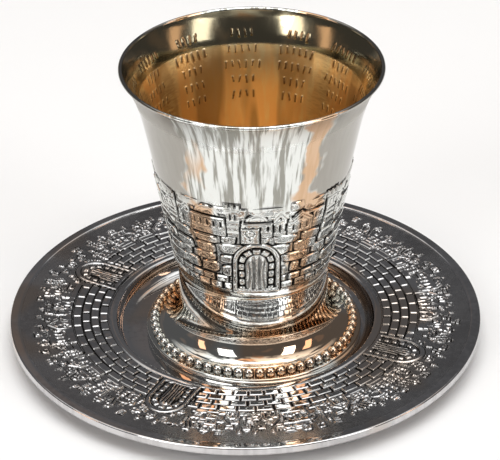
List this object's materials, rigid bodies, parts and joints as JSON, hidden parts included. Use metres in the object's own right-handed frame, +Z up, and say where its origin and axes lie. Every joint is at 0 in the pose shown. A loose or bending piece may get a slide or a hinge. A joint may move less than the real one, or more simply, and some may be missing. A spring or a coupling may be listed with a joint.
{
  "type": "kiddush cup",
  "caption": "Flared footed wine cup with a gilt inside, a beaded foot and a stamped town relief, standing in the well of its matching saucer.",
  "frame": {"origin": "on the saucer's axis, in the plane that the saucer stands on", "axes": "+Z up out of the cup, -Y towards the viewer with one gate of the cup's relief facing it, +X to the right"},
  "size_m": [0.14, 0.14, 0.0894],
  "materials": {
    "silver": "polished silver plate, blackened in the recesses of the relief",
    "dark_silver": "polished silver plate, oxidised darker, with bright edges",
    "gilt": "gilt lining, brushed below a polished band at the rim"
  },
  "bodies": {
    "root": {"cup": "silver", "saucer": "dark_silver"}
  },
  "joints": []
}
